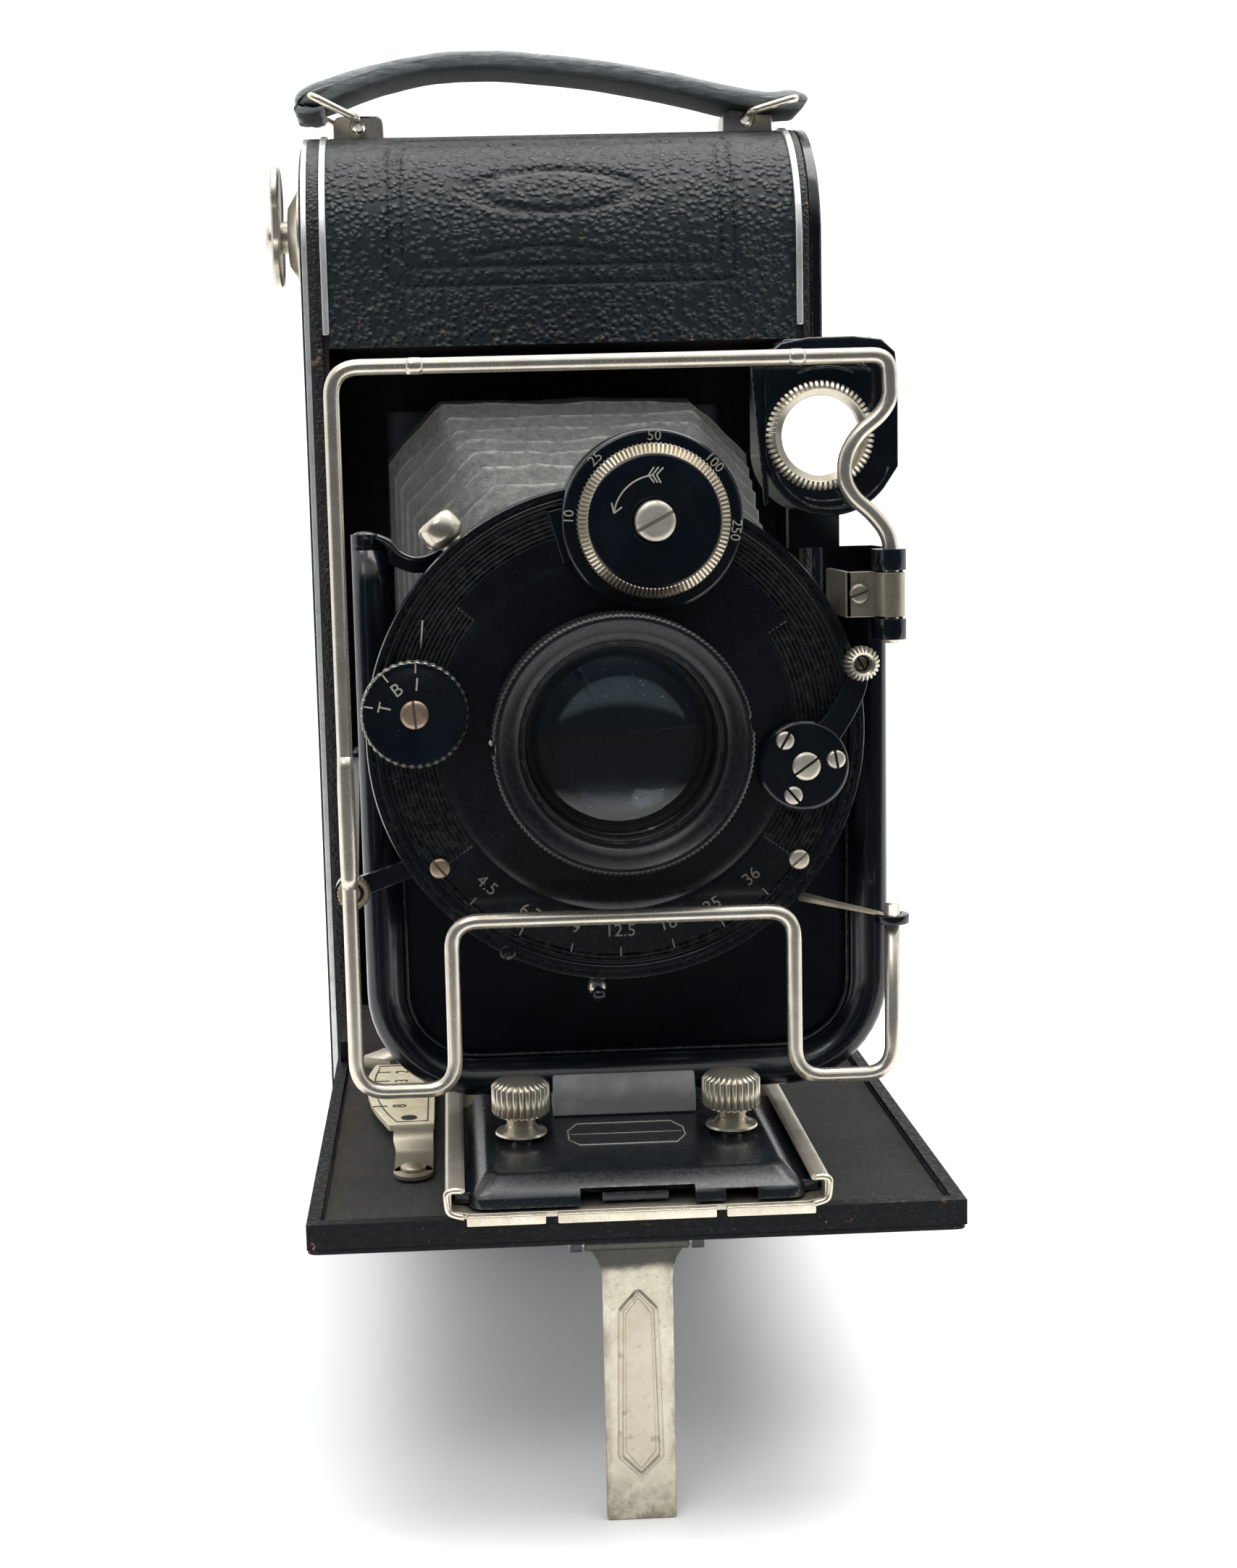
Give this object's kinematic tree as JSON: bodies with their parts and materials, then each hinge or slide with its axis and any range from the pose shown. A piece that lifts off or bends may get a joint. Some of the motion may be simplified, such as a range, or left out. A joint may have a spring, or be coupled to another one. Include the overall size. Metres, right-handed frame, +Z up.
{
  "type": "folding roll-film camera",
  "caption": "Folding roll-film camera, opened: bed, bellows, dial-set shutter and lens, wire-frame and reflecting finders, leg.",
  "frame": {"origin": "centre of the leg's foot, on the table", "axes": "+Z up, front of the camera towards -Y, +X to the right seen from the front"},
  "size_m": [0.0851, 0.1414, 0.184],
  "materials": {
    "black_enamel": "gloss enamel, worn at the edges",
    "black_face": "satin black lacquer with fine engraving",
    "leather": "pebble grain, worn",
    "nickel": "warm satin nickel plate",
    "steel": "satin",
    "aluminium": "satin",
    "spool_black": "matte",
    "bed_cloth": "fine worn cloth",
    "bellows_leather": "thin satin leather",
    "ivory": "ivory enamel plate",
    "glass": "coated glass",
    "mirror": "silvered",
    "red_window": "dark red celluloid"
  },
  "bodies": {
    "body": {"body_shell": "black_enamel", "body_leather": "leather", "trim_strips": "nickel", "side_plate_left": "black_enamel", "side_leather_left": "leather", "inner_chamber": "black_enamel", "bellows": "bellows_leather", "handle_lugs": "nickel", "window_glass": "red_window", "hinge_pins": "nickel", "key_collar": "nickel", "bed_plate": "black_enamel", "bed_lining": "bed_cloth", "bed_leather": "leather", "tripod_bush": "nickel", "leg_bracket": "nickel", "focus_scale": "ivory", "scale_bracket": "nickel", "bed_struts": "black_enamel"},
    "window_cover": {"window_cover": "nickel"},
    "bed_button": {"bed_button": "nickel"},
    "winding_key": {"winding_key": "nickel"},
    "film_carrier": {"film_carrier": "aluminium", "side_plate_right": "black_enamel", "side_leather_right": "leather"},
    "roller_top": {"roller_top": "steel"},
    "roller_bottom": {"roller_bottom": "steel"},
    "take_up_spool": {"take_up_spool": "spool_black"},
    "handle_strap": {"handle_strap": "leather"},
    "handle_loop_left": {"handle_loop_left": "nickel"},
    "handle_loop_right": {"handle_loop_right": "nickel"},
    "leg": {"leg": "nickel"},
    "focus_lever": {"focus_lever": "nickel"},
    "track": {"track": "nickel"},
    "standard": {"carriage": "black_enamel", "standard_frame": "black_enamel", "lens_board": "black_enamel", "shutter_housing": "black_enamel", "shutter_face": "black_face", "cable_socket": "nickel", "face_screws": "nickel", "lens_ring": "black_face", "lens_glass": "glass", "rear_cell": "black_enamel", "shutter_blades": "steel", "iris_blades": "steel", "finder_bracket": "black_enamel", "hinge_leaf": "nickel"},
    "grip_left": {"grip_left": "nickel"},
    "grip_right": {"grip_right": "nickel"},
    "speed_dial": {"speed_dial": "black_face"},
    "mode_dial": {"mode_dial": "black_face"},
    "cocking_lever": {"cocking_lever": "black_enamel"},
    "release_lever": {"release_lever": "black_enamel"},
    "aperture_lever": {"aperture_lever": "black_enamel"},
    "wire_finder": {"wire_finder": "nickel"},
    "reflecting_finder": {"finder_housing": "black_enamel", "finder_ring": "nickel", "finder_lenses": "glass", "finder_mirror": "mirror"}
  },
  "joints": [
    {"name": "window_cover_swivel", "type": "hinge", "parent": "body", "child": "window_cover", "pos_m": [0.018, 0.1354, 0.0682], "axis": [0, 1, 0], "range_deg": [0, 80]},
    {"name": "bed_button_press", "type": "slide", "parent": "body", "child": "bed_button", "axis": [1, 0, 0], "range_m": [0, 0.001], "stiffness_N_per_m": 1500},
    {"name": "winding_key_turn", "type": "hinge", "parent": "body", "child": "winding_key", "pos_m": [-0.043, 0.1164, 0.1552], "axis": [1, 0, 0], "continuous": true},
    {"name": "film_carrier_slide", "type": "slide", "parent": "body", "child": "film_carrier", "axis": [1, 0, 0], "range_m": [0, 0.08]},
    {"name": "roller_top_turn", "type": "hinge", "parent": "film_carrier", "child": "roller_top", "pos_m": [0, 0.1304, 0.1365], "axis": [1, 0, 0], "continuous": true},
    {"name": "roller_bottom_turn", "type": "hinge", "parent": "film_carrier", "child": "roller_bottom", "pos_m": [0, 0.1304, 0.0335], "axis": [1, 0, 0], "continuous": true},
    {"name": "take_up_spool_turn", "type": "hinge", "parent": "film_carrier", "child": "take_up_spool", "pos_m": [0, 0.1164, 0.1552], "axis": [1, 0, 0], "continuous": true},
    {"name": "handle_lift", "type": "slide", "parent": "body", "child": "handle_strap", "axis": [0, 0, 1], "range_m": [0, 0.0022]},
    {"name": "handle_loop_left_swing", "type": "hinge", "parent": "body", "child": "handle_loop_left", "pos_m": [-0.0305, 0.1164, 0.1722], "axis": [0, 1, 0], "range_deg": [0, 20]},
    {"name": "handle_loop_right_swing", "type": "hinge", "parent": "body", "child": "handle_loop_right", "pos_m": [0.0305, 0.1164, 0.1722], "axis": [0, -1, 0], "range_deg": [0, 20]},
    {"name": "leg_fold", "type": "hinge", "parent": "body", "child": "leg", "pos_m": [0, 0, 0.0323], "axis": [1, 0, 0], "range_deg": [0, 90]},
    {"name": "focus_lever_turn", "type": "hinge", "parent": "body", "child": "focus_lever", "pos_m": [-0.004, 0.0374, 0.0364], "axis": [0, 0, 1], "range_deg": [0, 60]},
    {"name": "track_slide", "type": "slide", "parent": "body", "child": "track", "axis": [0, -1, 0], "range_m": [0, 0.006]},
    {"name": "standard_slide", "type": "slide", "parent": "track", "child": "standard", "axis": [0, 1, 0], "range_m": [0, 0.092], "deforming": ["bellows"]},
    {"name": "grip_left_squeeze", "type": "slide", "parent": "standard", "child": "grip_left", "axis": [1, 0, 0], "range_m": [0, 0.0012], "stiffness_N_per_m": 400},
    {"name": "grip_right_squeeze", "type": "slide", "parent": "standard", "child": "grip_right", "axis": [-1, 0, 0], "range_m": [0, 0.0012], "stiffness_N_per_m": 400},
    {"name": "speed_dial_turn", "type": "hinge", "parent": "standard", "child": "speed_dial", "pos_m": [0.0043, 0.0094, 0.1111], "axis": [0, 1, 0], "range_deg": [-120, 120]},
    {"name": "mode_dial_turn", "type": "hinge", "parent": "standard", "child": "mode_dial", "pos_m": [-0.02275, 0.0119, 0.0902], "axis": [0, 1, 0], "range_deg": [-35, 35]},
    {"name": "cocking_lever_throw", "type": "hinge", "parent": "standard", "child": "cocking_lever", "pos_m": [0.0211, 0.0124, 0.083], "axis": [0, -1, 0], "range_deg": [-50, 0], "stiffness_Nm_per_rad": 0.01},
    {"name": "release_lever_press", "type": "hinge", "parent": "standard", "child": "release_lever", "pos_m": [-0.017, 0.0154, 0.0745], "axis": [0, -1, 0], "range_deg": [0, 12], "stiffness_Nm_per_rad": 0.01},
    {"name": "aperture_lever_turn", "type": "hinge", "parent": "standard", "child": "aperture_lever", "pos_m": [0, 0.0184, 0.087], "axis": [0, 1, 0], "range_deg": [-30, 30]},
    {"name": "wire_finder_swing", "type": "hinge", "parent": "standard", "child": "wire_finder", "pos_m": [0.0306, 0.0094, 0.1], "axis": [0, 0, -1], "range_deg": [-180, 0]},
    {"name": "finder_swivel", "type": "hinge", "parent": "standard", "child": "reflecting_finder", "pos_m": [0.0246, 0.0184, 0.1184], "axis": [0, -1, 0], "range_deg": [-90, 0]}
  ],
  "couplings": [
    {"joint": "take_up_spool_turn", "follows": "winding_key_turn", "ratio": 1},
    {"joint": "handle_loop_left_swing", "follows": "handle_lift", "rad_per_m": 158.67},
    {"joint": "handle_loop_right_swing", "follows": "handle_lift", "rad_per_m": 158.67},
    {"joint": "focus_lever_turn", "follows": "track_slide", "rad_per_m": 174.53},
    {"joint": "grip_right_squeeze", "follows": "grip_left_squeeze", "ratio": 1}
  ]
}
